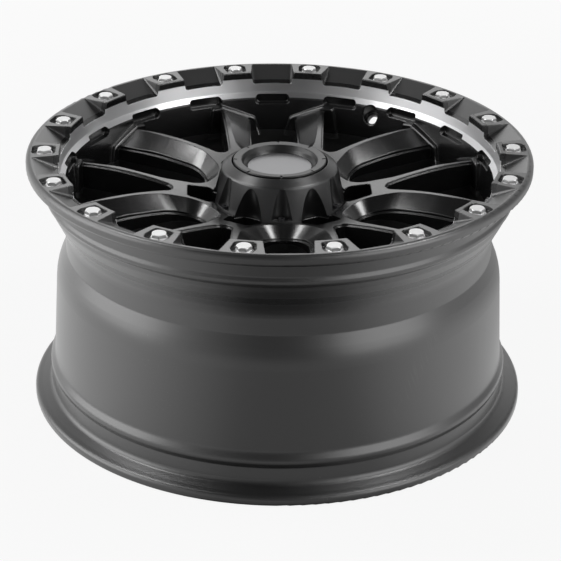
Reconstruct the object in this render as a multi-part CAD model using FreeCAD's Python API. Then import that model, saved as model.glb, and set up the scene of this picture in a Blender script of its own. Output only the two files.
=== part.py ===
"""Cast alloy off-road wheel with a ring of lip bolts and a tall centre cap.

Millimetres. The wheel axis is Z with the outboard face up, and the origin is the
centre of the hub mounting face. Depths are measured down from the lip's top plane.
"""
import FreeCAD
import Part
import math
import os

V = FreeCAD.Vector
AXIS = V(0, 0, 1)

# Rim, in the sizes that rims are sold by
bead_seat_diameter = 462.0
rim_width = 228.6
flange_height = 17.5
flange_thickness = 14.2
wheel_offset = 30.0

# Rim section
bead_seat_length = 15.8
bead_seat_taper = 1.3
hump_height = 0.6
hump_length = 3.0
well_drop = 18.5
well_start = 74.0
well_end = 97.0
flare_rise = 9.5
flare_length = 21.0
barrel_rise = 5.2
barrel_wall = 7.0
lip_edge_height = 10.5
lip_edge_round = 6.5
back_edge_height = 8.5
back_edge_round = 2.5

# Lip lugs, the pockets between them and the machined ring below
lug_count = 18
lug_depth = 32.5
lug_inner_width = 29.5
lug_outer_width = 41.0
lug_face_height = 6.8
lip_ring_width = 6.5
pocket_depth = 13.0
pocket_draft = 2.2
pocket_round = 4.0
machined_step = 1.2
machined_wall_height = 15.0
machined_wall_taper = 1.4
machined_bevel_width = 4.8
machined_bevel_height = 4.6
notch_width = 34.0
notch_height = 9.6
notch_depth = 4.2
notch_flare = 3.0

# Lip bolts and their seats
bolt_circle_diameter = 461.0
bolt_thread_diameter = 8.0
bolt_thread_length = 5.5
bolt_flange_diameter = 17.8
bolt_flange_height = 1.6
bolt_hex_width = 13.0
bolt_hex_height = 4.2
bolt_clearance = 0.1
seat_depth = 4.5
seat_width = 24.0
seat_narrow_width = 20.0
seat_length = 23.0
seat_corner = 4.5

# Spokes
spoke_count = 6
face_crown_radius = 171.5
face_crown_depth = 34.8
face_arc_radius = 359.0
arm_outer_angle = 15.7
arm_back_depth = 72.0
knuckle_back_radius = 100.0
knuckle_back_depth = 90.0
waist_half_width = 20.6
window_apex_radius = 107.0
window_apex_round = 9.0
window_half_angle = 26.4
window_step_width = 1.8
window_step_depth = 2.2
bay_hub_radius = 75.5
bay_hub_half_width = 20.0
bay_hub_corner = 31.0
bay_bend_corner = 36.0
bay_bend_radius = 109.4
bay_middle_radius = 160.0
bay_middle_half_width = 45.2
bay_wall_drop = 10.0
bay_step_height = 4.0
slot_hub_radius = 88.6
slot_half_width = 24.2
slot_hub_half_width = 12.2
slot_step_width = 2.0

# Arm roots on the barrel wall
root_inner_angle = 11.6
root_peak_angle = 14.8
root_outer_angle = 24.8
root_spread = 1.8
root_round = 2.2
root_inner_depth = 34.2
root_peak_depth = 32.5
root_outer_depth = 47.0
root_bottom_depth = 68.0

# Hub
centre_bore_diameter = 106.1
hub_pad_diameter = 168.0
lug_circle_diameter = 139.7
lug_hole_diameter = 14.8
lug_seat_diameter = 23.0
lug_seat_thickness = 17.0
lug_well_outer_radius = 91.3
lug_well_outer_half_width = 13.6
lug_well_middle_half_width = 18.5
lug_well_inner_radius = 56.6
lug_well_inner_half_width = 9.0
hub_pocket_depth = 22.0
hub_pocket_width = 26.0
hub_pocket_length = 13.0

# Valve hole
valve_hole_diameter = 11.3
valve_seat_diameter = 17.0
valve_back_diameter = 16.0
valve_wall = 4.5
valve_radius = 216.3
valve_depth = 43.4
valve_tilt = 50.0
valve_angle = 60.2

# Centre cap
cap_base_diameter = 132.8
cap_top_diameter = 114.4
cap_base_depth = 53.0
cap_shoulder_depth = 18.5
cap_rim_depth = 12.6
cap_rim_width = 9.6
cap_wall = 3.0
cap_seat_clearance = 0.6
arch_base_radius = 16.2
arch_taper = 0.135
flute_base_offset = 71.5
flute_base_radius = 12.9
flute_top_offset = 62.6
flute_top_radius = 7.0
flute_top_depth = 22.0
cap_foot_height = 3.6

# Cap screws
screw_circle_diameter = 125.2
screw_thread_diameter = 4.0
screw_length = 14.0
screw_head_diameter = 6.4
screw_head_height = 2.6
screw_socket_width = 2.5
screw_socket_depth = 1.4
screw_clearance = 0.15

# Cap insert and badge
insert_clearance = 0.8
insert_floor_thickness = 2.2
insert_ring_depth = 10.8
insert_ring_width = 8.4
insert_ring_round = 1.2
insert_notch_count = 8
insert_notch_width = 1.8
insert_notch_length = 4.0
insert_notch_depth = 1.2
badge_diameter = 63.5
badge_thickness = 1.6
badge_depth = 18.0
badge_clearance = 0.2
badge_bevel = 0.4

# Sizes that follow from the driving ones
seat_radius = bead_seat_diameter / 2
lip_radius = seat_radius + flange_height
lip_z = rim_width / 2 + flange_thickness - wheel_offset
rim_depth = rim_width + 2 * flange_thickness
lug_inner_radius = lip_radius - lug_depth
pocket_outer_radius = lip_radius - lip_ring_width
machined_top_radius = lug_inner_radius + machined_step
machined_low_radius = machined_top_radius - machined_wall_taper
bowl_radius = machined_low_radius - machined_bevel_width
bowl_depth = lug_face_height + machined_wall_height + machined_bevel_height
well_radius = seat_radius - well_drop
well_inner_radius = well_radius - barrel_wall
root_radius = well_inner_radius - 1.5
lug_pitch = 360.0 / lug_count
spoke_pitch = 360.0 / spoke_count
bay_angle = spoke_pitch / 2
bore_radius = centre_bore_diameter / 2
cap_base_radius = cap_base_diameter / 2
cap_top_radius = cap_top_diameter / 2
insert_seat_radius = cap_top_radius - cap_rim_width - insert_clearance
insert_radius = insert_seat_radius - insert_clearance
insert_base_depth = badge_depth + badge_thickness + insert_floor_thickness
beyond = 20.0


def level(depth):
    """Height of a plane that lies depth below the lip's top."""
    return lip_z - depth


def face_depth(radius):
    """Depth of the crowned spoke face at a radius."""
    sag = math.sqrt(face_arc_radius ** 2 - (radius - face_crown_radius) ** 2)
    return face_crown_depth + face_arc_radius - sag


def polar(radius, degrees):
    """Plan point at a radius and angle."""
    angle = math.radians(degrees)
    return (radius * math.cos(angle), radius * math.sin(angle))


def rounded_wire(corners, place):
    """Closed wire through (a, b, round) corners, with place(a, b) giving the 3-D point."""
    count = len(corners)
    edges = []
    ends = []
    for i in range(count):
        a, b, radius = corners[i]
        before = corners[i - 1]
        after = corners[(i + 1) % count]
        back = (before[0] - a, before[1] - b)
        on = (after[0] - a, after[1] - b)
        back_length = math.hypot(*back)
        on_length = math.hypot(*on)
        back = (back[0] / back_length, back[1] / back_length)
        on = (on[0] / on_length, on[1] / on_length)
        cosine = max(-1.0, min(1.0, back[0] * on[0] + back[1] * on[1]))
        half = math.acos(cosine) / 2
        if radius <= 0 or half > math.radians(89.9):
            ends.append((place(a, b), None, place(a, b)))
            continue
        reach = min(radius / math.tan(half), 0.47 * back_length, 0.47 * on_length)
        radius = reach * math.tan(half)
        start = (a + back[0] * reach, b + back[1] * reach)
        stop = (a + on[0] * reach, b + on[1] * reach)
        bisector = (back[0] + on[0], back[1] + on[1])
        length = math.hypot(*bisector)
        bulge = (radius / math.sin(half) - radius) / length
        middle = (a + bisector[0] * bulge, b + bisector[1] * bulge)
        ends.append((place(*start), place(*middle), place(*stop)))
    for i in range(count):
        start, middle, stop = ends[i]
        if middle is not None:
            edges.append(Part.Arc(start, middle, stop).toShape())
        following = ends[(i + 1) % count][0]
        edges.append(Part.LineSegment(stop, following).toShape())
    return Part.Wire(edges)


def turned(corners):
    """Solid of revolution from (radius, depth, round) corners."""
    wire = rounded_wire(corners, lambda radius, depth: V(radius, 0, level(depth)))
    return Part.Face(wire).revolve(V(0, 0, 0), AXIS, 360)


def prism(corners, top_depth, bottom_depth):
    """Upright prism on a plan of (x, y, round) corners between two depths."""
    wire = rounded_wire(corners, lambda x, y: V(x, y, level(bottom_depth)))
    return Part.Face(wire).extrude(V(0, 0, bottom_depth - top_depth))


def mirrored_plan(half):
    """Closed plan from the corners on the +Y side of its centre line."""
    return half + [(x, -y, radius) for x, y, radius in reversed(half)]


def ring_of(shape, count, start=0.0):
    """Copies of a shape at equal angles about the wheel axis."""
    copies = []
    for i in range(count):
        copy = shape.copy()
        copy.rotate(V(0, 0, 0), AXIS, start + i * 360.0 / count)
        copies.append(copy)
    return copies


def rim():
    """Barrel, bead seats, flanges and the thick lip, as one turned section."""
    outer_end = flange_thickness + bead_seat_length
    low_seat = seat_radius - bead_seat_taper
    hump = seat_radius + hump_height
    flare_end = well_end + flare_length
    flare_radius = well_radius + flare_rise
    inner_seat = rim_depth - flange_thickness
    inner_end = inner_seat - bead_seat_length
    inner_hump = inner_end - 5.5
    barrel_end = inner_hump - hump_length - 6.5
    barrel_radius = flare_radius + barrel_rise
    curl_radius = lip_radius - 7.0
    curl = lip_edge_height + 2.0
    back_curl = rim_depth - back_edge_height - 2.0
    outside = [
        (lug_inner_radius, 0, 0.8),
        (lip_radius, 0, lip_edge_round),
        (lip_radius, lip_edge_height, 3.0),
        (curl_radius, curl, 9.0),
        (seat_radius, flange_thickness, 6.0),
        (low_seat, outer_end, 2.5),
        (hump, outer_end + 3.5, 2.5),
        (hump, outer_end + 3.5 + hump_length, 2.0),
        (seat_radius - 3.3, outer_end + 11.0, 3.0),
        (seat_radius - 4.5, outer_end + 16.0, 9.0),
        (well_radius, well_start, 24.0),
        (well_radius, well_end, 2.0),
        (flare_radius, flare_end, 60.0),
        (barrel_radius, barrel_end, 6.0),
        (hump, inner_hump - hump_length, 6.0),
        (hump, inner_hump + 0.5, 4.0),
        (low_seat, inner_end, 0.8),
        (seat_radius, inner_seat, 6.0),
        (curl_radius, back_curl, 9.0),
        (lip_radius, rim_depth - back_edge_height, 6.0),
        (lip_radius, rim_depth, back_edge_round),
    ]
    inside = [
        (seat_radius + 4.0, rim_depth, 1.5),
        (seat_radius - barrel_wall, inner_seat + 2.0, 10.0),
        (hump - barrel_wall, inner_hump, 12.0),
        (barrel_radius - barrel_wall, barrel_end, 12.0),
        (flare_radius - barrel_wall, flare_end + 2.0, 25.0),
        (well_inner_radius, well_end + 2.0, 10.0),
        (well_inner_radius, well_start, 20.0),
        (bowl_radius - 0.5, bowl_depth + 2.0, 0),
        (bowl_radius, bowl_depth, 0),
        (machined_low_radius, lug_face_height + machined_wall_height, 1.0),
        (machined_top_radius, lug_face_height + 1.0, 0),
        (lug_inner_radius, lug_face_height, 0),
    ]
    return turned(outside + inside)


def spoke_disc():
    """Hub and crowned disc that the windows are cut from."""
    outer = well_inner_radius + 0.5 * barrel_wall
    seat_edge = cap_base_radius + cap_seat_clearance
    middle = (seat_edge + outer) / 2
    pad_radius = hub_pad_diameter / 2
    mount_depth = lip_z
    points = [V(r, 0, level(face_depth(r))) for r in (seat_edge, middle, outer)]
    edges = [Part.Arc(*points).toShape()]
    around = [
        points[-1],
        V(outer, 0, level(arm_back_depth)),
        V(knuckle_back_radius, 0, level(knuckle_back_depth)),
        V(pad_radius, 0, level(mount_depth - 4.0)),
        V(pad_radius, 0, 0),
        V(bore_radius, 0, 0),
        V(bore_radius, 0, level(cap_base_depth)),
        V(seat_edge, 0, level(cap_base_depth)),
        points[0],
    ]
    edges += [Part.LineSegment(a, b).toShape() for a, b in zip(around, around[1:])]
    return Part.Face(Part.Wire(edges)).revolve(V(0, 0, 0), AXIS, 360)


def below_face(drop):
    """Solid that fills everything lower than a surface drop below the spoke face."""
    outer = lip_radius + beyond
    inner = bore_radius / 2
    middle = (inner + outer) / 2
    points = [V(r, 0, level(face_depth(r) + drop)) for r in (inner, middle, outer)]
    floor = level(rim_depth + beyond)
    edges = [
        Part.Arc(*points).toShape(),
        Part.LineSegment(points[-1], V(outer, 0, floor)).toShape(),
        Part.LineSegment(V(outer, 0, floor), V(inner, 0, floor)).toShape(),
        Part.LineSegment(V(inner, 0, floor), points[0]).toShape(),
    ]
    return Part.Face(Part.Wire(edges)).revolve(V(0, 0, 0), AXIS, 360)


def window_plan(grow):
    """Plan of the three-cornered window between a spoke's two arms."""
    half_angle = math.radians(window_half_angle)
    apex = window_apex_radius - window_apex_round * (1 / math.sin(half_angle) - 1) - grow / math.sin(half_angle)
    far = well_inner_radius + beyond
    corners = [(far, (far - apex) * math.tan(half_angle), 0)]
    return [(apex, 0, window_apex_round + grow)] + mirrored_plan(corners)


def window_cutters():
    """Through window with a narrow step that follows the spoke face."""
    through = prism(window_plan(0), 0, rim_depth)
    step = prism(window_plan(window_step_width), 0, rim_depth)
    step = step.cut(below_face(window_step_depth))
    return through, step


def bay_bend_half_width():
    """Half width of a bay where the spoke's leg turns into its arm."""
    angle = math.radians(bay_angle)
    return (bay_bend_radius * math.sin(angle) - waist_half_width) / math.cos(angle)


def slot_plan(grow):
    """Plan of the through slot inside a bay."""
    return mirrored_plan([
        (slot_hub_radius - grow, slot_hub_half_width + 0.6 * grow, bay_hub_corner),
        (bay_bend_radius, slot_half_width + grow, bay_bend_corner),
        (well_inner_radius + beyond, slot_half_width + grow, 0),
    ])


def bay_cutters():
    """Sloped bay, the low step at its foot and the through slot inside that."""
    foot = slot_half_width + slot_step_width
    hub_foot = slot_hub_radius - slot_step_width
    hub_depth = face_depth(bay_hub_radius)
    rim_half = polar(well_inner_radius, bay_angle - arm_outer_angle)[1]
    lean = (hub_depth - face_depth(well_inner_radius)) / (well_inner_radius - bay_hub_radius)
    hub_slope = (hub_foot - bay_hub_radius) / bay_wall_drop
    hub_half_slope = (bay_hub_half_width - slot_hub_half_width - 0.6 * slot_step_width) / bay_wall_drop
    stations = [
        (bay_bend_radius, bay_bend_half_width(), bay_bend_corner),
        (bay_middle_radius, bay_middle_half_width, 60.0),
        (well_inner_radius + 0.5 * barrel_wall, rim_half, 0),
    ]

    def outline(drop):
        """Bay walls where they cross a leaning plane, drop below the hub end's face."""
        hub_half = bay_hub_half_width - drop * hub_half_slope
        corners = [(bay_hub_radius + drop * hub_slope, hub_half, bay_hub_corner)]
        for radius, half, bend in stations:
            fall = hub_depth + drop - lean * (radius - bay_hub_radius) - face_depth(radius)
            corners.append((radius, half - fall * (half - foot) / bay_wall_drop, bend))
        plane = hub_depth + drop
        return rounded_wire(
            mirrored_plan(corners), lambda u, v: V(u, v, level(plane - lean * (u - bay_hub_radius)))
        )

    bay = Part.makeLoft([outline(bay_wall_drop + 1.0), outline(-8.0)], True, True)
    step = prism(slot_plan(slot_step_width), 0, rim_depth)
    step = step.cut(below_face(bay_wall_drop + bay_step_height))
    slot = prism(slot_plan(0), 0, rim_depth)
    return bay, step, slot


def arm_root():
    """Raised block with rounded edges where an arm meets the barrel wall."""
    middle_angle = (root_inner_angle + root_outer_angle) / 2

    def across(degrees):
        return root_radius * math.tan(math.radians(degrees - middle_angle))

    corners = [
        (across(root_inner_angle - root_spread), root_bottom_depth, 0),
        (across(root_inner_angle), root_inner_depth, 3.0),
        (across(root_peak_angle), root_peak_depth, 4.0),
        (across(root_outer_angle), root_outer_depth, 4.0),
        (across(root_outer_angle + root_spread), root_bottom_depth, 0),
    ]
    start = root_radius * 0.9
    wire = rounded_wire(corners, lambda t, depth: V(start, t, level(depth)))
    block = Part.Face(wire).extrude(V(beyond * 2, 0, 0))
    ring = turned([
        (root_radius, root_bottom_depth, 0),
        (root_radius, root_peak_depth - 4.0, 0),
        (bowl_radius + 1.0, root_peak_depth - 4.0, 0),
        (well_inner_radius + 1.0, root_bottom_depth, 0),
    ])
    block.rotate(V(0, 0, 0), AXIS, middle_angle)
    root = block.common(ring)
    bottom = level(root_bottom_depth)
    rim_edges = []
    for edge in root.Edges:
        ends = [vertex.Point for vertex in edge.Vertexes]
        inner = all(math.hypot(point.x, point.y) < root_radius + 0.01 for point in ends)
        if inner and any(point.z > bottom + 0.01 for point in ends):
            rim_edges.append(edge)
    root = root.makeFillet(root_round, rim_edges)
    return [root, root.mirror(V(0, 0, 0), V(0, 1, 0))]


def lug_well_cutters():
    """Deep well between a spoke's legs with the lug hole and its cone seat."""
    centre = V(lug_circle_diameter / 2, 0, 0)
    well = prism(mirrored_plan([
        (lug_well_inner_radius, lug_well_inner_half_width, 6.0),
        (lug_circle_diameter / 2, lug_well_middle_half_width, 8.0),
        (lug_well_outer_radius, lug_well_outer_half_width, 4.5),
    ]), 0, lip_z - lug_seat_thickness)
    hole = Part.makeCylinder(lug_hole_diameter / 2, lip_z, centre, AXIS)
    cone_height = (lug_seat_diameter - lug_hole_diameter) / 2 * math.sqrt(3)
    cone_base = V(centre.x, 0, lug_seat_thickness - cone_height)
    cone = Part.makeCone(lug_hole_diameter / 2, lug_seat_diameter / 2, cone_height, cone_base, AXIS)
    return [well, hole, cone]


def hub_pocket():
    """Lightening pocket in the mounting face between two lug holes."""
    centre = lug_circle_diameter / 2 - 1.0
    half = [
        (centre - hub_pocket_length / 2, hub_pocket_width / 2 - 2.0, 4.0),
        (centre + hub_pocket_length / 2, hub_pocket_width / 2, 4.0),
    ]
    return prism(mirrored_plan(half), lip_z - hub_pocket_depth, lip_z)


def lip_pocket():
    """Wedge between two lip lugs: a floor that falls inward, with leaning sides."""
    pitch_inner = math.radians(lug_pitch) * lug_inner_radius
    pitch_outer = math.radians(lug_pitch) * pocket_outer_radius
    floor_inner = (pitch_inner - lug_inner_width) / 2 - pocket_draft
    floor_outer = (pitch_outer - lug_outer_width) / 2
    run = pocket_outer_radius - lug_inner_radius
    above = -0.3 * pocket_depth

    def section(share):
        """Pocket outline at a share of the way from its inner to its outer end."""
        depth = pocket_depth * (1 - share)
        radius = lug_inner_radius + run * share
        floor = floor_inner + (floor_outer - floor_inner) * share
        top = floor + (depth - above) * pocket_draft / pocket_depth
        corners = [
            (floor, depth, pocket_round), (top, above, 0),
            (-top, above, 0), (-floor, depth, pocket_round),
        ]
        return rounded_wire(corners, lambda t, low: V(radius, t, level(low)))

    near = -(machined_bevel_width + machined_step + 6.0) / run
    return Part.makeLoft([section(near), section(1.15)], True, True)


def ring_notch():
    """Scoop in the machined ring's lower edge, below a lip pocket."""
    half = notch_width / 2
    middle = bowl_depth + 2.0

    def section(radius, spread):
        corners = [
            (half + spread, middle - notch_height / 2, 3.0),
            (half + spread, middle + notch_height / 2 + 0.3 * spread, 4.0),
            (-half - spread, middle + notch_height / 2 + 0.3 * spread, 4.0),
            (-half - spread, middle - notch_height / 2, 3.0),
        ]
        return rounded_wire(corners, lambda t, depth: V(radius, t, level(depth)))

    deep = bowl_radius + notch_depth
    return Part.makeLoft([section(deep, 0), section(deep - 12.0, notch_flare)], True, True)


def bolt_seat():
    """Recess in a lug's top for a bolt head, with its threaded hole."""
    centre = bolt_circle_diameter / 2
    half = [
        (centre - seat_length / 2 + 1.0, seat_narrow_width / 2, seat_corner),
        (centre + seat_length * 0.2, seat_width / 2, seat_corner),
        (centre + seat_length / 2 + 1.0, seat_width / 2 - 3.0, seat_corner),
    ]
    recess = prism(mirrored_plan(half), -1.0, seat_depth)
    depth = seat_depth + bolt_thread_length + 0.5
    hole = Part.makeCylinder(bolt_thread_diameter / 2 + bolt_clearance, depth, V(centre, 0, level(depth)), AXIS)
    return [recess, hole]


def valve_cutters():
    """Valve hole with a flat seat on each side, slanting out and back through the barrel wall."""
    tilt = math.radians(valve_tilt)
    outward = V(math.cos(tilt), 0, -math.sin(tilt))
    floor = V(valve_radius, 0, level(valve_depth))
    seat = Part.makeCylinder(valve_seat_diameter / 2, beyond, floor - outward * beyond, outward)
    hole = Part.makeCylinder(valve_hole_diameter / 2, beyond, floor - outward, outward)
    back = Part.makeCylinder(valve_back_diameter / 2, beyond, floor + outward * valve_wall, outward)
    return [seat, hole, back]


def screw_hole():
    """Threaded hole in the hub for a cap screw."""
    depth = screw_length - cap_foot_height + 1.0
    place = V(screw_circle_diameter / 2, 0, level(cap_base_depth + depth))
    return Part.makeCylinder(screw_thread_diameter / 2 + screw_clearance, depth, place, AXIS)


def wheel_casting():
    """The one-piece casting: barrel, lip, spokes and hub."""
    window, window_step = window_cutters()
    bay, bay_step, slot = bay_cutters()
    disc = spoke_disc()
    disc = disc.cut(ring_of(window, spoke_count))
    disc = disc.cut(ring_of(window_step, spoke_count))
    disc = disc.cut(ring_of(bay, spoke_count, bay_angle))
    disc = disc.cut(ring_of(bay_step, spoke_count, bay_angle))
    disc = disc.cut(ring_of(slot, spoke_count, bay_angle))
    for cutter in lug_well_cutters():
        disc = disc.cut(ring_of(cutter, spoke_count))
    disc = disc.cut(ring_of(hub_pocket(), spoke_count, bay_angle))
    disc = disc.cut(ring_of(screw_hole(), spoke_count, bay_angle))
    shell = rim()
    shell = shell.cut(ring_of(lip_pocket(), lug_count, lug_pitch / 2))
    shell = shell.cut(ring_of(ring_notch(), lug_count, lug_pitch / 2))
    for cutter in bolt_seat():
        shell = shell.cut(ring_of(cutter, lug_count))
    roots = []
    for root in arm_root():
        roots += ring_of(root, spoke_count)
    casting = shell.fuse([disc] + roots)
    for cutter in valve_cutters():
        cutter.rotate(V(0, 0, 0), AXIS, valve_angle)
        casting = casting.cut(cutter)
    return casting.removeSplitter()


def lip_bolts():
    """Flanged hex bolts, one in each lug."""
    base = V(bolt_circle_diameter / 2, 0, level(seat_depth))
    corner = bolt_hex_width / math.sqrt(3)
    thread = Part.makeCylinder(bolt_thread_diameter / 2, bolt_thread_length, base - AXIS * bolt_thread_length, AXIS)
    flange = Part.makeCone(
        bolt_flange_diameter / 2, corner, bolt_flange_height * 1.4, base, AXIS
    )
    hexagon = [base + V(*polar(corner, 60 * i + 30), 0) for i in range(6)]
    head = Part.Face(Part.makePolygon(hexagon + hexagon[:1])).extrude(
        AXIS * (bolt_flange_height + bolt_hex_height)
    )
    crown = Part.makeCone(
        corner + bolt_hex_height, corner - 1.0, bolt_hex_height + 1.0,
        base + AXIS * (bolt_flange_height - 1.0), AXIS
    )
    bolt = flange.fuse([head.common(crown), thread]).removeSplitter()
    return Part.makeCompound(ring_of(bolt, lug_count))


def cap_cone(shrink):
    """Plain conical body of the cap, drawn in by the given amount."""
    foot = cap_base_depth + (1.0 if shrink else 0.0)
    slope = (cap_base_radius - cap_top_radius) / (cap_base_depth - cap_shoulder_depth)
    base = cap_base_radius + slope * (foot - cap_base_depth) - shrink
    top = insert_base_depth + cap_wall if shrink else cap_rim_depth
    if shrink:
        top_radius = cap_top_radius + slope * (top - cap_shoulder_depth) - shrink
        corners = [(0, foot, 0), (base, foot, 0), (top_radius, top, 2.0), (0, top, 0)]
    else:
        corners = [
            (0, foot, 0), (base, foot, 0.8), (cap_top_radius, cap_shoulder_depth, 3.5),
            (cap_top_radius - cap_rim_width, top, 1.2), (0, top, 0),
        ]
    return turned(corners)


def cap_cutters(grow):
    """Arches over the lug wells and flutes between them, widened by the given amount."""
    lug_radius = lug_circle_diameter / 2
    tall = cap_base_depth + 2.0
    arch = Part.makeCone(
        arch_base_radius + arch_taper * 2.0 + grow, arch_base_radius - arch_taper * cap_base_depth + grow,
        tall, V(lug_radius, 0, level(tall)), AXIS
    )
    foot_depth = cap_base_depth - cap_foot_height + (cap_wall + 2.0 if grow else 0.0)
    bottom = V(flute_base_offset, 0, level(cap_base_depth))
    top = V(flute_top_offset, 0, level(flute_top_depth - 4.0))
    line = top - bottom
    flute = Part.makeCone(
        flute_base_radius + grow, flute_top_radius - 0.6 + grow, line.Length, bottom, line
    )
    trim = Part.makeBox(
        beyond * 4, beyond * 4, beyond * 4, V(0, -beyond * 2, level(foot_depth))
    )
    return arch, flute.common(trim)


def cap_body():
    """Hollow conical cap with arches, flutes, screw feet and a seat for its insert."""
    arch, flute = cap_cutters(0)
    wide_arch, wide_flute = cap_cutters(cap_wall)
    cavity = cap_cone(cap_wall).cut(ring_of(wide_arch, spoke_count))
    cavity = cavity.cut(ring_of(wide_flute, spoke_count, bay_angle))
    body = cap_cone(0).cut(ring_of(arch, spoke_count))
    body = body.cut(ring_of(flute, spoke_count, bay_angle))
    body = body.cut(cavity)
    seat = Part.makeCylinder(
        insert_seat_radius + insert_clearance, insert_base_depth, V(0, 0, level(insert_base_depth)), AXIS
    )
    body = body.cut(seat)
    hole = Part.makeCylinder(
        screw_thread_diameter / 2 + screw_clearance, cap_foot_height * 3,
        V(screw_circle_diameter / 2, 0, level(cap_base_depth + 1.0)), AXIS
    )
    return body.cut(ring_of(hole, spoke_count, bay_angle)).removeSplitter()


def cap_screws():
    """Socket screws at the foot of each flute."""
    seat = level(cap_base_depth - cap_foot_height)
    base = V(screw_circle_diameter / 2, 0, seat)
    shank = Part.makeCylinder(screw_thread_diameter / 2, screw_length, base - AXIS * screw_length, AXIS)
    head = Part.makeCylinder(screw_head_diameter / 2, screw_head_height, base, AXIS)
    top = base + AXIS * screw_head_height
    corner = screw_socket_width / math.sqrt(3)
    hexagon = [top + V(*polar(corner, 60 * i), 0) for i in range(6)]
    socket = Part.Face(Part.makePolygon(hexagon + hexagon[:1])).extrude(AXIS * -screw_socket_depth)
    screw = head.fuse(shank).cut(socket).removeSplitter()
    return Part.makeCompound(ring_of(screw, spoke_count, bay_angle))


def cap_insert():
    """Notched ring with a dished centre, seated in the cap's top."""
    badge_seat = badge_diameter / 2 + badge_clearance
    ring_inner = insert_radius - insert_ring_width
    body = turned([
        (0, insert_base_depth, 0),
        (insert_radius, insert_base_depth, 0),
        (insert_radius, insert_ring_depth, insert_ring_round),
        (ring_inner, insert_ring_depth + 0.6, insert_ring_round),
        (badge_seat + 3.6, (insert_ring_depth + badge_depth) / 2 + 0.8, 1.0),
        (badge_seat + 0.8, badge_depth - 0.8, 1.0),
        (badge_seat, badge_depth, 0),
        (badge_seat, badge_depth + badge_thickness, 0),
        (0, badge_depth + badge_thickness, 0),
    ])
    corner = V(
        insert_radius - insert_notch_length, -insert_notch_width / 2, level(insert_ring_depth + insert_notch_depth)
    )
    notch = Part.makeBox(insert_notch_length * 2, insert_notch_width, insert_notch_depth * 2, corner)
    return body.cut(ring_of(notch, insert_notch_count))


def badge_disc():
    """Plain disc in the middle of the insert."""
    radius = badge_diameter / 2
    return turned([
        (0, badge_depth, 0),
        (radius - badge_bevel, badge_depth, 0),
        (radius, badge_depth + badge_bevel, 0),
        (radius, badge_depth + badge_thickness, 0),
        (0, badge_depth + badge_thickness, 0),
    ])


os.makedirs("parts", exist_ok=True)
nodes = {
    "wheel_casting": wheel_casting,
    "lip_bolts": lip_bolts,
    "cap_body": cap_body,
    "cap_screws": cap_screws,
    "cap_insert": cap_insert,
    "badge_disc": badge_disc,
}
for name, make in nodes.items():
    shape = make()
    shape.exportStep("parts/" + name + ".step")
    print(name, len(shape.Solids), "solids", round(shape.Volume / 1000, 1), "cm3, valid", shape.isValid())
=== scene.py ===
"""Looks for the cast alloy wheel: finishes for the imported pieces, the studio and the camera."""
import math
from types import SimpleNamespace

import bmesh
import bpy
from mathutils import Matrix, Vector

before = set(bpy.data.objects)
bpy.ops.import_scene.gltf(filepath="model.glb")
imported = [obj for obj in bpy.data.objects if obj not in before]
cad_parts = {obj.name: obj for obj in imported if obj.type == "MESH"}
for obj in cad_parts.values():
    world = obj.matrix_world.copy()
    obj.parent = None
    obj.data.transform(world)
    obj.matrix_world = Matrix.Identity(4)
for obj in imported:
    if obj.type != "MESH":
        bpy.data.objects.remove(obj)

bl_info = {
    "name": "Alloy Wheel Looks",
    "version": (1, 0, 0),
    "blender": (4, 5, 0),
    "location": "View3D > Sidebar > Wheel",
    "description": "Finishes, studio and camera for a cast alloy wheel",
    "category": "Material",
}

MM = 0.001

# The casting's turned edges and hollows, in millimetres
FLANGE_RADIUS = 248.5
LIP_HEIGHT = 98.5
FOOT_HEIGHT = -158.5
LIP_BEND = 4.93
FOOT_BEND = 2.5
EDGE_SLACK = 2.2
UPPER, LOWER = 1, -1


def rounded_edge(bend, height, half, start=0.0):
    """Upper or lower half of a rounding out to the flange's radius, from a share of its bend outwards."""
    centre = FLANGE_RADIUS - bend
    return SimpleNamespace(bend=bend, centre=centre, height=height, half=half, start=start, bulge=1)


def hollow(bend, centre, height, half, start):
    """Upper or lower half of a hollow between a flange and the barrel."""
    return SimpleNamespace(bend=bend, centre=centre, height=height, half=half, start=start, bulge=-1)


TURNED_EDGES = (
    rounded_edge(bend=LIP_BEND, height=LIP_HEIGHT - LIP_BEND, half=UPPER),
    rounded_edge(bend=3.0, height=90.26, half=LOWER, start=0.27),
    hollow(bend=6.0, centre=236.6, height=79.13, half=UPPER, start=0.16),
    hollow(bend=6.0, centre=236.66, height=-139.94, half=LOWER, start=0.33),
    rounded_edge(bend=4.535, height=-153.42, half=UPPER, start=0.27),
    rounded_edge(bend=FOOT_BEND, height=FOOT_HEIGHT + FOOT_BEND, half=LOWER),
)

# Paint texture: fine grain, soft clouds of gloss, dust specks and one patch of rub marks
NOISE_MIDDLE = 0.5
GRAIN = SimpleNamespace(scale=900.0, strength=0.12, depth=0.0002)
CLOUD = SimpleNamespace(scale=9.0, detail=3.0, swing=0.08)
DUST = SimpleNamespace(scale=620.0, detail=0.0, low=0.79, high=0.86, cloud_low=0.42, cloud_high=0.62)
SCUFF = SimpleNamespace(
    radius=225.0, lean=0.33, scale=1.0, across=0.5, along=0.03, faint=0.56, full=0.74, strength=0.4,
    start=-192.6, slope=0.567, core=5.0, reach=14.0, low=-94.0, low_fade=12.0, high=-16.0, high_fade=8.0,
)

# Studio glow: level directions that are lit, and where the light starts and is full
LEFT_GLOW = SimpleNamespace(east=-0.97, north=0.26, start=0.0, full=0.8, level=1.0)
RIGHT_GLOW = SimpleNamespace(east=0.98, north=-0.2, start=0.6, full=0.98, level=0.77)
BACK_GLOW = SimpleNamespace(east=0.0, north=1.0, start=0.5, full=0.95, level=1.0)
LEAST_FLAT = 0.01

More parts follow.
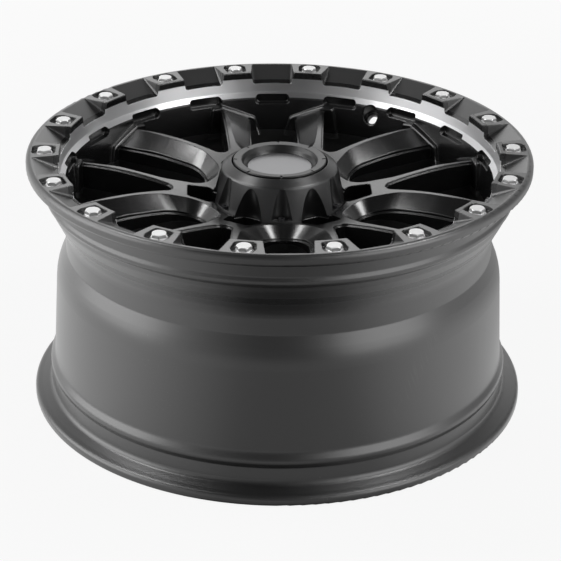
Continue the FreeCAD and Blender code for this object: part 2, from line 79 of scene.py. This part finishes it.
# How far a mirrored view points up where the ceiling darkens, and down where the floor in front carries a
# painted shadow of the wheel, with how far to the right that painted shadow fades out
CEILING = SimpleNamespace(start=0.45, full=0.75)
STEEP = SimpleNamespace(start=0.42, full=0.72, fade=0.15, end=0.75)

# Lamps round the wheel: turn from +X and climb in degrees, sizes in metres
LAMP_DISTANCE = 1.7
LAMPS = (
    SimpleNamespace(name="left_panel", turn=182, climb=22, width=1.7, height=1.4, radiance=1.8),
    SimpleNamespace(name="left_spot", turn=164, climb=56, width=0.46, height=0.44, radiance=8.5),
    SimpleNamespace(name="back_panel", turn=91, climb=34, width=0.8, height=0.8, radiance=1.1),
    SimpleNamespace(name="right_panel", turn=-40, climb=26, width=1.4, height=1.5, radiance=1.4),
    SimpleNamespace(name="right_spot", turn=-4, climb=60, width=0.5, height=0.4, radiance=9.5),
)

# Camera clipping in metres
CLIP_NEAR, CLIP_FAR = 0.05, 100.0

BLACK = (0.0, 0.0, 0.0)
BEVEL_SAMPLES = 6
MATH_INPUTS = ("Value", "Value_001", "Value_002")


def colour(name, description, value):
    """Colour a user can change."""
    return bpy.props.FloatVectorProperty(
        name=name, description=description, subtype="COLOR", size=3, min=0, max=1, default=value,
    )


def share(name, description, value):
    """Number from 0 to 1."""
    return bpy.props.FloatProperty(
        name=name, description=description, subtype="FACTOR", min=0, max=1, default=value,
    )


def level(name, description, value):
    """Strength or ratio that may pass 1."""
    return bpy.props.FloatProperty(name=name, description=description, min=0, max=10, default=value)


def size_mm(name, description, value):
    """Length or height in millimetres."""
    return bpy.props.FloatProperty(
        name=name, description=description + ", in millimetres", min=-10000, max=10000, default=value,
    )


def angle(name, description, degrees):
    """Angle, kept in radians and shown in degrees."""
    return bpy.props.FloatProperty(
        name=name, description=description, subtype="ANGLE", default=math.radians(degrees),
    )


class WheelFinish(bpy.types.PropertyGroup):
    """Colours and gloss of the wheel's finishes."""

    paint: colour("Paint", "Colour of the satin black paint", (0.0048, 0.0048, 0.005))
    paint_roughness: share("Paint roughness", "Roughness of the paint on the face and inside", 0.25)
    paint_gloss: share("Paint gloss", "Specular level of the paint", 1.0)
    paint_ior: level("Paint index", "Index of refraction of the paint and the cap's plastic", 1.6)
    barrel_roughness: share("Barrel roughness", "Roughness of the paint on the barrel's outside", 0.36)
    barrel_coat: share("Barrel coat", "Clear coat on the barrel's outside", 0.7)
    dust: colour("Dust", "Colour of dust and rub marks", (0.07, 0.07, 0.068))
    edge_round: size_mm("Paint round", "How far the paint softens the casting's edges", 1.5)
    metal: colour("Machined metal", "Colour of the bright turned ring", (0.86, 0.86, 0.87))
    metal_roughness: share("Machined roughness", "Roughness of the bright turned ring", 0.42)
    lathe_stretch: share("Lathe stretch", "How far lathe marks stretch the ring's sheen", 0.8)
    lathe_turn: share("Lathe turn", "Turn of the ring's sheen, as a share of a full turn", 0.25)
    zinc: colour("Bolt plating", "Colour of the lip bolts", (0.92, 0.92, 0.92))
    zinc_metallic: share("Plating metallic", "How metallic the bolts look", 0.75)
    zinc_roughness: share("Plating roughness", "Roughness of the bolts", 0.48)
    bolt_round: size_mm("Bolt round", "How far the plating softens the bolts' edges", 0.4)
    plastic: colour("Cap plastic", "Colour of the cap and its insert", (0.011, 0.011, 0.0114))
    plastic_roughness: share("Plastic roughness", "Roughness of the cap and its insert", 0.33)
    plastic_gloss: share("Cap gloss", "Specular level of the cap", 1.0)
    insert_gloss: share("Insert gloss", "Specular level of the insert", 0.48)
    cap_round: size_mm("Cap round", "How far the moulding softens the cap's edges", 0.8)
    badge: colour("Badge", "Colour of the plain badge disc", (0.22, 0.22, 0.226))
    badge_metallic: share("Badge metallic", "How metallic the badge looks", 0.6)
    badge_roughness: share("Badge roughness", "Roughness of the badge", 0.3)
    screw: colour("Cap screws", "Colour of the cap's screws", (0.10, 0.10, 0.105))
    screw_metallic: share("Screw metallic", "How metallic the screws look", 0.8)
    screw_roughness: share("Screw roughness", "Roughness of the screws", 0.4)


class MachinedRing(bpy.types.PropertyGroup):
    """Place of the bright turned ring under the lip, and of the barrel's outside."""

    lip_height: size_mm("Lip height", "Height of the lip's top, from which depths are taken", LIP_HEIGHT)
    top_depth: size_mm("Ring top", "Depth of the ring's upper edge", 7.2)
    wall_depth: size_mm("Wall foot", "Depth where the ring's wall meets its bevel", 21.8)
    low_depth: size_mm("Bevel foot", "Depth of the ring's lower edge", 26.5)
    top_radius: size_mm("Top radius", "Radius at the ring's upper edge", 217.2)
    wall_radius: size_mm("Wall radius", "Radius where the ring's wall meets its bevel", 215.8)
    low_radius: size_mm("Bevel radius", "Radius at the ring's lower edge", 211.0)
    inward: size_mm("Inward slack", "How far inside the ring's outline still counts as bare", 0.9)
    outward: size_mm("Outward slack", "How far outside the ring's outline still counts as bare", 0.3)
    barrel_depth: size_mm("Barrel depth", "Depth below which all paint counts as the barrel's", 62.0)
    barrel_radius: size_mm("Barrel radius", "Radius beyond which paint counts as the barrel's outside", 222.0)


class Studio(bpy.types.PropertyGroup):
    """Floor, light and camera."""

    floor_height: size_mm("Floor height", "Height of the floor", FOOT_HEIGHT)
    floor_half: size_mm("Floor half width", "Half the width of the floor", 9000.0)
    covered: size_mm("Covered radius", "Radius of the floor that the wheel hides", 244.0)
    near_floor: size_mm("Near floor", "Radius where the floor starts to fade to plain white", 600.0)
    far_floor: size_mm("Far floor", "Radius where the floor is plain white", 2400.0)
    white: colour("Background", "Colour of the background and the open floor", (1.0, 1.0, 1.0))
    floor_tone: share("Floor tone", "Tone of the floor where light and shade fall on it", 0.7)
    floor_roughness: share("Floor roughness", "Roughness of the floor", 0.6)
    floor_lift: share("Floor lift", "Share of the floor shown plain white near the wheel", 0.9)
    # Painted light and shade of the floor as the wheel mirrors it: tones of the front, of the painted shadow
    # in front, and of the back
    floor_front: share("Floor in front", "Tone of the floor in front, as mirrored", 0.38)
    # Painted shadow: tone of the floor in front near the wheel, as mirrored, darkened as if the wheel's
    # shadow fell there
    floor_painted_shadow: share("Floor from above", "Tone of the floor in front, as mirrored from above", 0.08)
    floor_back: share("Floor behind", "Tone of the floor behind, as mirrored", 0.56)
    surround: level("Surround", "Strength of the even light all round", 0.05)
    sides: level("Sides", "Strength of the lit sides, as mirrored", 0.74)
    ceiling: level("Ceiling", "Strength of the dark ceiling, as mirrored", 0.015)
    front: share("Front", "Share of the sides' strength in front", 0.18)
    back: share("Back", "Share of the sides' strength behind", 1.0)
    light: level("Lamp level", "Strength of all lamps together", 1.0)
    camera_place: bpy.props.FloatVectorProperty(
        name="Camera place", description="Where the camera stands", subtype="TRANSLATION", unit="LENGTH",
        size=3, default=(-0.0763, -1.8594, 0.861),
    )
    camera_heading: angle("Heading", "Turn of the camera from +Y towards +X", 2.418)
    camera_pitch: angle("Pitch", "Climb of the camera's view", -25.976)
    camera_roll: angle("Roll", "Tilt of the camera about its view", -0.698)
    camera_lens: bpy.props.FloatProperty(
        name="Lens", description="Focal length", subtype="DISTANCE_CAMERA", min=1, max=1000, default=131.05,
    )


class Value:
    """Shader value that joins others with the usual operators."""

    def __init__(self, graph, socket):
        self.graph = graph
        self.socket = socket

    def math(self, operation, *others):
        sockets = dict(zip(MATH_INPUTS, (self, *others)))
        return self.graph.value("ShaderNodeMath", "Value", {"operation": operation}, sockets)

    def __add__(self, other):
        return self.math("ADD", other)

    def __sub__(self, other):
        return self.math("SUBTRACT", other)

    def __mul__(self, other):
        return self.math("MULTIPLY", other)

    def __truediv__(self, other):
        return self.math("DIVIDE", other)

    def __neg__(self):
        return self.math("MULTIPLY", -1.0)

    def __radd__(self, other):
        return self + other

    def __rsub__(self, other):
        return -self + other

    def __rmul__(self, other):
        return self * other

    def root(self):
        return self.math("SQRT")

    def most(self, other):
        return self.math("MAXIMUM", other)

    def least(self, other):
        return self.math("MINIMUM", other)

    def below(self, other):
        return self.math("LESS_THAN", other)

    def above(self, other):
        return self.math("GREATER_THAN", other)


def socket_of(sockets, identifier):
    """Socket with this identifier, because several can share a name."""
    return next(socket for socket in sockets if socket.identifier == identifier)


def ramp(value, low, high):
    """0 below the low limit, 1 above the high one, even between."""
    return ((value - low) / (high - low)).most(0.0).least(1.0)


def toward(part, start, end):
    """Start where the part is 0, end where it is 1."""
    return part * (end - start) + start


def lit(glow, east, north):
    """How far a level direction lies in a glow."""
    return ramp(east * glow.east + north * glow.north, glow.start, glow.full) * glow.level


def studio_glow(east, north, front, back):
    """Brightness of the studio in a level direction: lit sides, a back and a dim front."""
    rest = toward(lit(BACK_GLOW, east, north), front, back)
    sides = lit(LEFT_GLOW, east, north).most(lit(RIGHT_GLOW, east, north))
    return toward(sides, rest, 1.0)


class Graph:
    """Node tree whose nodes are all made in one way."""

    def __init__(self, tree):
        self.tree = tree

    def node(self, kind, settings=None, sockets=None):
        """New node: its settings first, then what its sockets take."""
        made = self.tree.nodes.new(kind)
        for name, value in (settings or {}).items():
            setattr(made, name, value)
        self.fill(made, sockets or {})
        return made

    def value(self, kind, output, settings=None, sockets=None):
        """One output of a new node."""
        return self.output(self.node(kind, settings, sockets), output)

    def output(self, node, name):
        return Value(self, socket_of(node.outputs, name))

    def fill(self, node, sockets):
        """Links shader values to a node's sockets, and sets plain ones."""
        for name, value in sockets.items():
            socket = socket_of(node.inputs, name)
            if isinstance(value, Value):
                self.tree.links.new(value.socket, socket)
            else:
                socket.default_value = (*value, 1.0) if socket.type == "RGBA" else value

    def standing(self, kind):
        """Node that Blender made with the tree."""
        return next(node for node in self.tree.nodes if node.type == kind)

    def axes(self, vector):
        """The three parts of a vector."""
        parts = self.node("ShaderNodeSeparateXYZ", sockets={"Vector": vector})
        return [self.output(parts, axis) for axis in "XYZ"]

    def vector(self, x, y, z=0.0):
        return self.value("ShaderNodeCombineXYZ", "Vector", sockets={"X": x, "Y": y, "Z": z})

    def sight(self):
        """Whether the camera sees a place straight, and whether it is seen mirrored or through glass."""
        path = self.node("ShaderNodeLightPath")
        mirrored = self.output(path, "Is Glossy Ray").most(self.output(path, "Is Transmission Ray"))
        return self.output(path, "Is Camera Ray"), mirrored

    def mix(self, factor, first, second):
        """First colour where factor is 0, the second one where it is 1."""
        sockets = {"Factor_Float": factor, "A_Color": first, "B_Color": second}
        return self.value("ShaderNodeMix", "Result_Color", {"data_type": "RGBA"}, sockets)

    def choose(self, factor, first, second):
        """First vector where factor is 0, the second one, at length 1, where it is 1."""
        unit = self.value("ShaderNodeVectorMath", "Vector", {"operation": "NORMALIZE"}, {"Vector": second})
        sockets = {"Factor_Float": factor, "A_Vector": first, "B_Vector": unit}
        return self.value("ShaderNodeMix", "Result_Vector", {"data_type": "VECTOR"}, sockets)

    def noise(self, vector, scale, detail=2.0):
        sockets = {"Vector": vector, "Scale": scale, "Detail": detail}
        return self.value("ShaderNodeTexNoise", "Fac", sockets=sockets)


class Surface(Graph):
    """A material's principled shader and the values that feed it."""

    def __init__(self, name):
        self.material = bpy.data.materials.new(name)
        self.material.use_nodes = True
        super().__init__(self.material.node_tree)
        self.shader = self.standing("BSDF_PRINCIPLED")

    def finish(self, sockets):
        """Sets what the principled shader takes."""
        self.fill(self.shader, sockets)

    def place(self):
        """Object coordinates as a vector in metres, and its parts in millimetres."""
        vector = self.value("ShaderNodeTexCoord", "Object")
        return vector, [part * (1 / MM) for part in self.axes(vector)]

    def rounded(self, radius):
        """Normal that softens the edges as a coat of paint does."""
        return self.value(
            "ShaderNodeBevel", "Normal", {"samples": BEVEL_SAMPLES}, {"Radius": radius * MM}
        )

    def grained(self, height, normal):
        """Normal with the paint's fine grain."""
        return self.value("ShaderNodeBump", "Normal", sockets={
            "Height": height, "Strength": GRAIN.strength, "Distance": GRAIN.depth, "Normal": normal,
        })

    def blend(self, factor, over):
        """Lays another shader over the principled one where factor is 1."""
        under = self.output(self.shader, "BSDF")
        mixed = self.value(
            "ShaderNodeMixShader", "Shader", sockets={"Fac": factor, "Shader": under, "Shader_001": over}
        )
        self.fill(self.standing("OUTPUT_MATERIAL"), {"Surface": mixed})


def wear(node, surface):
    """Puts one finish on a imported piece."""
    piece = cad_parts[node]
    piece.data.materials.clear()
    piece.data.materials.append(surface.material)


class WHEEL_OT_casting(bpy.types.Operator):
    """Satin black paint on the casting, with the turned ring left bright"""

    bl_idname = "wheel.casting"
    bl_label = "Finish the casting"

    def execute(self, context):
        finish = context.scene.wheel_finish
        ring = context.scene.wheel_ring
        paint = Surface("satin_black_paint")
        vector, (x, y, z) = paint.place()
        radius = (x * x + y * y).root()
        depth = ring.lip_height - z
        outside = depth.above(ring.barrel_depth).most(radius.above(ring.barrel_radius))
        cloud = paint.noise(vector, CLOUD.scale, CLOUD.detail)
        worn = self.scuffs(paint, x, y, z).most(self.dust(paint, vector, cloud)) * outside
        roughness = toward(outside, finish.paint_roughness, finish.barrel_roughness)
        edges = self.turned(paint, paint.rounded(finish.edge_round), x, y, z, radius)
        paint.finish({
            "Base Color": paint.mix(worn, finish.paint, finish.dust),
            "Roughness": (cloud - NOISE_MIDDLE) * CLOUD.swing + roughness,
            "Specular IOR Level": finish.paint_gloss,
            "IOR": finish.paint_ior,
            "Coat Weight": outside * finish.barrel_coat,
            "Coat Roughness": finish.barrel_roughness,
            "Normal": paint.grained(paint.noise(vector, GRAIN.scale), edges),
        })
        metal = paint.value("ShaderNodeBsdfPrincipled", "BSDF", sockets={
            "Base Color": finish.metal,
            "Metallic": 1.0,
            "Roughness": finish.metal_roughness,
            "Anisotropic": finish.lathe_stretch,
            "Anisotropic Rotation": finish.lathe_turn,
        })
        paint.blend(self.bare(ring, depth, radius), metal)
        wear("wheel_casting", paint)
        return {"FINISHED"}

    def bare(self, ring, depth, radius):
        """1 on the turned ring's wall and bevel."""
        wall_slope = (ring.wall_radius - ring.top_radius) / (ring.wall_depth - ring.top_depth)
        bevel_slope = (ring.low_radius - ring.wall_radius) / (ring.low_depth - ring.wall_depth)
        wall = (depth - ring.top_depth) * wall_slope + ring.top_radius
        bevel = (depth - ring.wall_depth) * bevel_slope + ring.wall_radius
        off = radius - wall.least(bevel)
        near = off.below(ring.outward) * off.above(-ring.inward)
        return near * depth.above(ring.top_depth) * depth.below(ring.low_depth)

    def turned(self, paint, normal, x, y, z, radius):
        """Gives the lip's and the flange's turned edges and hollows the normals of true arcs."""
        for edge in TURNED_EDGES:
            out = (radius - edge.centre) * edge.bulge
            up = z - edge.height
            off = (out * out + up * up).root() - edge.bend
            near = off.below(EDGE_SLACK) * off.above(-EDGE_SLACK)
            near = near * out.above(edge.start * edge.bend) * (up * edge.half).above(0.0)
            arc = paint.vector(x * out / radius, y * out / radius, up * edge.bulge)
            normal = paint.choose(near, normal, arc)
        return normal

    def scuffs(self, paint, x, y, z):
        """Faint slanted rub marks in one slanting patch of the barrel."""
        around = y.math("ARCTAN2", x) * SCUFF.radius
        across = around + z * SCUFF.lean
        place = paint.vector(across * SCUFF.across, z * SCUFF.along)
        marks = ramp(paint.noise(place, SCUFF.scale), SCUFF.faint, SCUFF.full)
        off = (around - z * SCUFF.slope - SCUFF.start).math("ABSOLUTE")
        patch = 1.0 - ramp(off, SCUFF.core, SCUFF.reach)
        foot = ramp(z, SCUFF.low, SCUFF.low + SCUFF.low_fade)
        head = 1.0 - ramp(z, SCUFF.high - SCUFF.high_fade, SCUFF.high)
        return marks * patch * foot * head * SCUFF.strength

    def dust(self, paint, vector, cloud):
        """Sparse fine specks, thicker in some places than in others."""
        specks = ramp(paint.noise(vector, DUST.scale, DUST.detail), DUST.low, DUST.high)
        return specks * ramp(cloud, DUST.cloud_low, DUST.cloud_high)


class WHEEL_OT_bolts(bpy.types.Operator):
    """Bright plating on the lip bolts"""

    bl_idname = "wheel.bolts"
    bl_label = "Plate the bolts"

    def execute(self, context):
        finish = context.scene.wheel_finish
        plating = Surface("zinc_plate")
        plating.finish({
            "Base Color": finish.zinc,
            "Metallic": finish.zinc_metallic,
            "Roughness": finish.zinc_roughness,
            "Normal": plating.rounded(finish.bolt_round),
        })
        wear("lip_bolts", plating)
        return {"FINISHED"}


class WHEEL_OT_cap(bpy.types.Operator):
    """Black plastic cap with its insert, plain badge and screws"""

    bl_idname = "wheel.cap"
    bl_label = "Finish the cap"

    def execute(self, context):
        finish = context.scene.wheel_finish
        wear("cap_body", self.plastic(finish, "cap_plastic", finish.plastic_gloss))
        wear("cap_insert", self.plastic(finish, "insert_plastic", finish.insert_gloss))
        badge = self.metal("badge_grey", finish.badge, finish.badge_metallic, finish.badge_roughness)
        wear("badge_disc", badge)
        plate = self.metal("dark_plate", finish.screw, finish.screw_metallic, finish.screw_roughness)
        wear("cap_screws", plate)
        return {"FINISHED"}

    def plastic(self, finish, name, gloss):
        """Satin black plastic with softened edges."""
        moulding = Surface(name)
        moulding.finish({
            "Base Color": finish.plastic,
            "Roughness": finish.plastic_roughness,
            "Specular IOR Level": gloss,
            "IOR": finish.paint_ior,
            "Normal": moulding.rounded(finish.cap_round),
        })
        return moulding

    def metal(self, name, tone, metallic, roughness):
        """Plain grey metal."""
        plate = Surface(name)
        plate.finish({"Base Color": tone, "Metallic": metallic, "Roughness": roughness})
        return plate


class WHEEL_OT_stage(bpy.types.Operator):
    """White studio floor, soft light and the camera"""

    bl_idname = "wheel.stage"
    bl_label = "Set the stage"

    def execute(self, context):
        studio = context.scene.wheel_studio
        self.floor(context, studio)
        self.surround(context, studio)
        for lamp in LAMPS:
            self.lamp(context, lamp, studio.light)
        self.camera(context, studio)
        context.scene.view_settings.view_transform = "Standard"
        return {"FINISHED"}

    def floor(self, context, studio):
        """Wide square under the wheel."""
        mesh = bpy.data.meshes.new("floor")
        square = bmesh.new()
        bmesh.ops.create_grid(square, x_segments=1, y_segments=1, size=studio.floor_half * MM)
        bmesh.ops.translate(square, verts=square.verts, vec=(0.0, 0.0, studio.floor_height * MM))
        square.to_mesh(mesh)
        square.free()
        mesh.materials.append(self.pale_floor(studio).material)
        piece = bpy.data.objects.new("floor", mesh)
        context.scene.collection.objects.link(piece)

    def pale_floor(self, studio):
        """Floor that looks nearly plain white, and that the wheel mirrors with painted light and shade:
        glowing lit sides, a dim back and front, and a painted shadow in front.
        """
        pale = Surface("pale_floor")
        tone = studio.floor_tone
        pale.finish({"Base Color": (tone, tone, tone), "Roughness": studio.floor_roughness})
        direct, mirrored = pale.sight()
        _, (x, y, _) = pale.place()
        radius = (x * x + y * y).root()
        east, north = x / radius, y / radius
        _, _, rise = pale.axes(pale.value("ShaderNodeNewGeometry", "Incoming"))
        # Painted shadow: steep mirrored views of the floor in front take a darker tone, which stands in for
        # the wheel's shadow
        painted_shadow = ramp(rise, STEEP.start, STEEP.full) * (1.0 - ramp(east, STEEP.fade, STEEP.end))
        front = toward(painted_shadow, studio.floor_front, studio.floor_painted_shadow)
        # Painted light and shade: as mirrored, the floor glows bright where the lamps would light it and dim
        # in front and behind
        tone = toward(direct, studio_glow(east, north, front, studio.floor_back), 1.0)
        shown = pale.mix(tone, BLACK, studio.white)
        plain = pale.value("ShaderNodeEmission", "Emission", sockets={"Color": shown})
        far = ramp(radius, studio.near_floor, studio.far_floor)
        lift = toward(far, studio.floor_lift, 1.0)
        # Camera rays see the floor mostly plain white; mirrored rays see only its painted light and shade,
        # outside the covered radius
        pale.blend((direct * lift).most(mirrored) * radius.above(studio.covered), plain)
        return pale

    def surround(self, context, studio):
        """White background that the wheel mirrors as lit sides under a dark ceiling."""
        world = bpy.data.worlds.new("studio")
        context.scene.world = world
        world.use_nodes = True
        sky = Graph(world.node_tree)
        direct, mirrored = sky.sight()
        east, north, up = sky.axes(sky.value("ShaderNodeTexCoord", "Generated"))
        flat = (east * east + north * north).root().most(LEAST_FLAT)
        sides = studio_glow(east / flat, north / flat, studio.front, studio.back) * studio.sides
        sweep = toward(ramp(up, CEILING.start, CEILING.full), sides, studio.ceiling)
        strength = toward(direct, toward(mirrored, studio.surround, sweep), 1.0)
        sky.fill(sky.standing("BACKGROUND"), {"Color": studio.white, "Strength": strength})

    def lamp(self, context, lamp, strength):
        """Panel of light that faces the wheel and stays out of the picture."""
        light = bpy.data.lights.new(lamp.name, "AREA")
        light.shape = "RECTANGLE"
        light.size = lamp.width
        light.size_y = lamp.height
        light.energy = lamp.radiance * strength * math.pi * lamp.width * lamp.height
        turn = math.radians(lamp.turn)
        climb = math.radians(lamp.climb)
        place = Vector((math.cos(turn) * math.cos(climb), math.sin(turn) * math.cos(climb), math.sin(climb)))
        panel = bpy.data.objects.new(lamp.name, light)
        panel.location = place * LAMP_DISTANCE
        panel.rotation_euler = place.to_track_quat("Z", "Y").to_euler()
        panel.visible_camera = False
        context.scene.collection.objects.link(panel)

    def camera(self, context, studio):
        """Camera where the photograph was taken from."""
        heading, pitch, roll = studio.camera_heading, studio.camera_pitch, studio.camera_roll
        ahead = Vector((
            math.sin(heading) * math.cos(pitch), math.cos(heading) * math.cos(pitch), math.sin(pitch)
        ))
        level_right = Vector((math.cos(heading), -math.sin(heading), 0))
        level_up = level_right.cross(ahead)
        right = level_right * math.cos(roll) - level_up * math.sin(roll)
        up = level_right * math.sin(roll) + level_up * math.cos(roll)
        turn = Matrix((right, up, -ahead)).transposed()
        data = bpy.data.cameras.new("camera")
        data.lens = studio.camera_lens
        data.clip_start = CLIP_NEAR
        data.clip_end = CLIP_FAR
        camera = bpy.data.objects.new("camera", data)
        camera.matrix_world = Matrix.Translation(studio.camera_place) @ turn.to_4x4()
        context.scene.collection.objects.link(camera)
        context.scene.camera = camera


class WHEEL_PT_panel(bpy.types.Panel):
    """Sidebar panel with the wheel's finishes and studio"""

    bl_idname = "WHEEL_PT_panel"
    bl_label = "Alloy Wheel"
    bl_space_type = "VIEW_3D"
    bl_region_type = "UI"
    bl_category = "Wheel"

    def draw(self, context):
        for group in (context.scene.wheel_finish, context.scene.wheel_ring, context.scene.wheel_studio):
            box = self.layout.box()
            for name in group.bl_rna.properties.keys():
                if name not in ("rna_type", "name"):
                    box.prop(group, name)
        for operator in OPERATORS:
            self.layout.operator(operator.bl_idname)


GROUPS = {"wheel_finish": WheelFinish, "wheel_ring": MachinedRing, "wheel_studio": Studio}
OPERATORS = (WHEEL_OT_casting, WHEEL_OT_bolts, WHEEL_OT_cap, WHEEL_OT_stage)


def register():
    for name, group in GROUPS.items():
        bpy.utils.register_class(group)
        setattr(bpy.types.Scene, name, bpy.props.PointerProperty(type=group))
    for made in (*OPERATORS, WHEEL_PT_panel):
        bpy.utils.register_class(made)


def unregister():
    for made in (WHEEL_PT_panel, *reversed(OPERATORS)):
        bpy.utils.unregister_class(made)
    for name, group in reversed(list(GROUPS.items())):
        delattr(bpy.types.Scene, name)
        bpy.utils.unregister_class(group)


def main():
    register()
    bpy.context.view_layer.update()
    bpy.ops.wheel.casting()
    bpy.ops.wheel.bolts()
    bpy.ops.wheel.cap()
    bpy.ops.wheel.stage()


if __name__ == "__main__":
    main()
